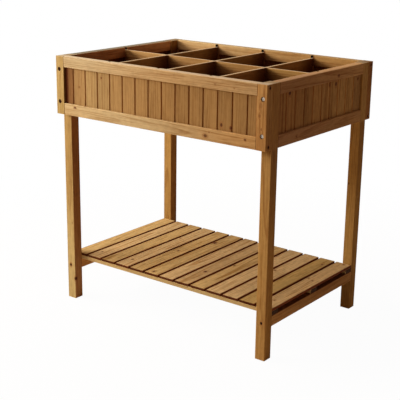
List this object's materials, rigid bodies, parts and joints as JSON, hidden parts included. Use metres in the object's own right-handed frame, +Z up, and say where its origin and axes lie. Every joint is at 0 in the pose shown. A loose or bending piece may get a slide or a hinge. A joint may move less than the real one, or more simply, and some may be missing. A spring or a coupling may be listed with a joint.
{
  "type": "raised planter",
  "caption": "Raised wooden planter: a framed and boarded box on tall legs, split into planting pockets by halved dividers, over a slatted shelf.",
  "frame": {"origin": "on the floor under the middle of the box", "axes": "+Z up, +X to the right along the long side, front towards -Y"},
  "size_m": [0.79, 0.59, 0.81],
  "materials": {
    "frame_timber": "planed pine with a light oil finish",
    "board_timber": "planed pine boards with a light oil finish",
    "divider_timber": "planed thin pine boards",
    "shelf_timber": "planed pine slats with knots",
    "bolt_zinc": "bright zinc plate",
    "plug_dark": "blackened screw heads"
  },
  "bodies": {
    "root": {"leg_front_left": "frame_timber", "leg_front_right": "frame_timber", "leg_back_left": "frame_timber", "leg_back_right": "frame_timber", "front_top_rail": "frame_timber", "front_bottom_rail": "frame_timber", "front_boards": "board_timber", "front_stile_left": "frame_timber", "front_stile_right": "frame_timber", "back_top_rail": "frame_timber", "back_bottom_rail": "frame_timber", "back_boards": "board_timber", "back_stile_left": "frame_timber", "back_stile_right": "frame_timber", "left_top_rail": "frame_timber", "left_bottom_rail": "frame_timber", "left_boards": "board_timber", "right_top_rail": "frame_timber", "right_bottom_rail": "frame_timber", "right_boards": "board_timber", "long_divider": "divider_timber", "cross_divider_1": "divider_timber", "cross_divider_2": "divider_timber", "cross_divider_3": "divider_timber", "ledger_front": "divider_timber", "ledger_back": "divider_timber", "base_board_1": "divider_timber", "base_board_2": "divider_timber", "base_board_3": "divider_timber", "base_board_4": "divider_timber", "base_board_5": "divider_timber", "base_board_6": "divider_timber", "base_board_7": "divider_timber", "shelf_rail_left": "frame_timber", "shelf_rail_right": "frame_timber", "shelf_batten_front": "shelf_timber", "shelf_batten_middle": "shelf_timber", "shelf_batten_back": "shelf_timber", "shelf_slat_1": "shelf_timber", "shelf_slat_2": "shelf_timber", "shelf_slat_3": "shelf_timber", "shelf_slat_4": "shelf_timber", "shelf_slat_5": "shelf_timber", "shelf_slat_6": "shelf_timber", "shelf_slat_7": "shelf_timber", "shelf_slat_8": "shelf_timber", "shelf_slat_9": "shelf_timber", "shelf_slat_10": "shelf_timber", "shelf_slat_11": "shelf_timber", "shelf_slat_12": "shelf_timber", "shelf_slat_13": "shelf_timber", "bolt_front_left_upper": "bolt_zinc", "bolt_front_left_lower": "bolt_zinc", "bolt_front_right_upper": "bolt_zinc", "bolt_front_right_lower": "bolt_zinc", "bolt_back_left_upper": "bolt_zinc", "bolt_back_left_lower": "bolt_zinc", "bolt_back_right_upper": "bolt_zinc", "bolt_back_right_lower": "bolt_zinc"}
  },
  "joints": []
}
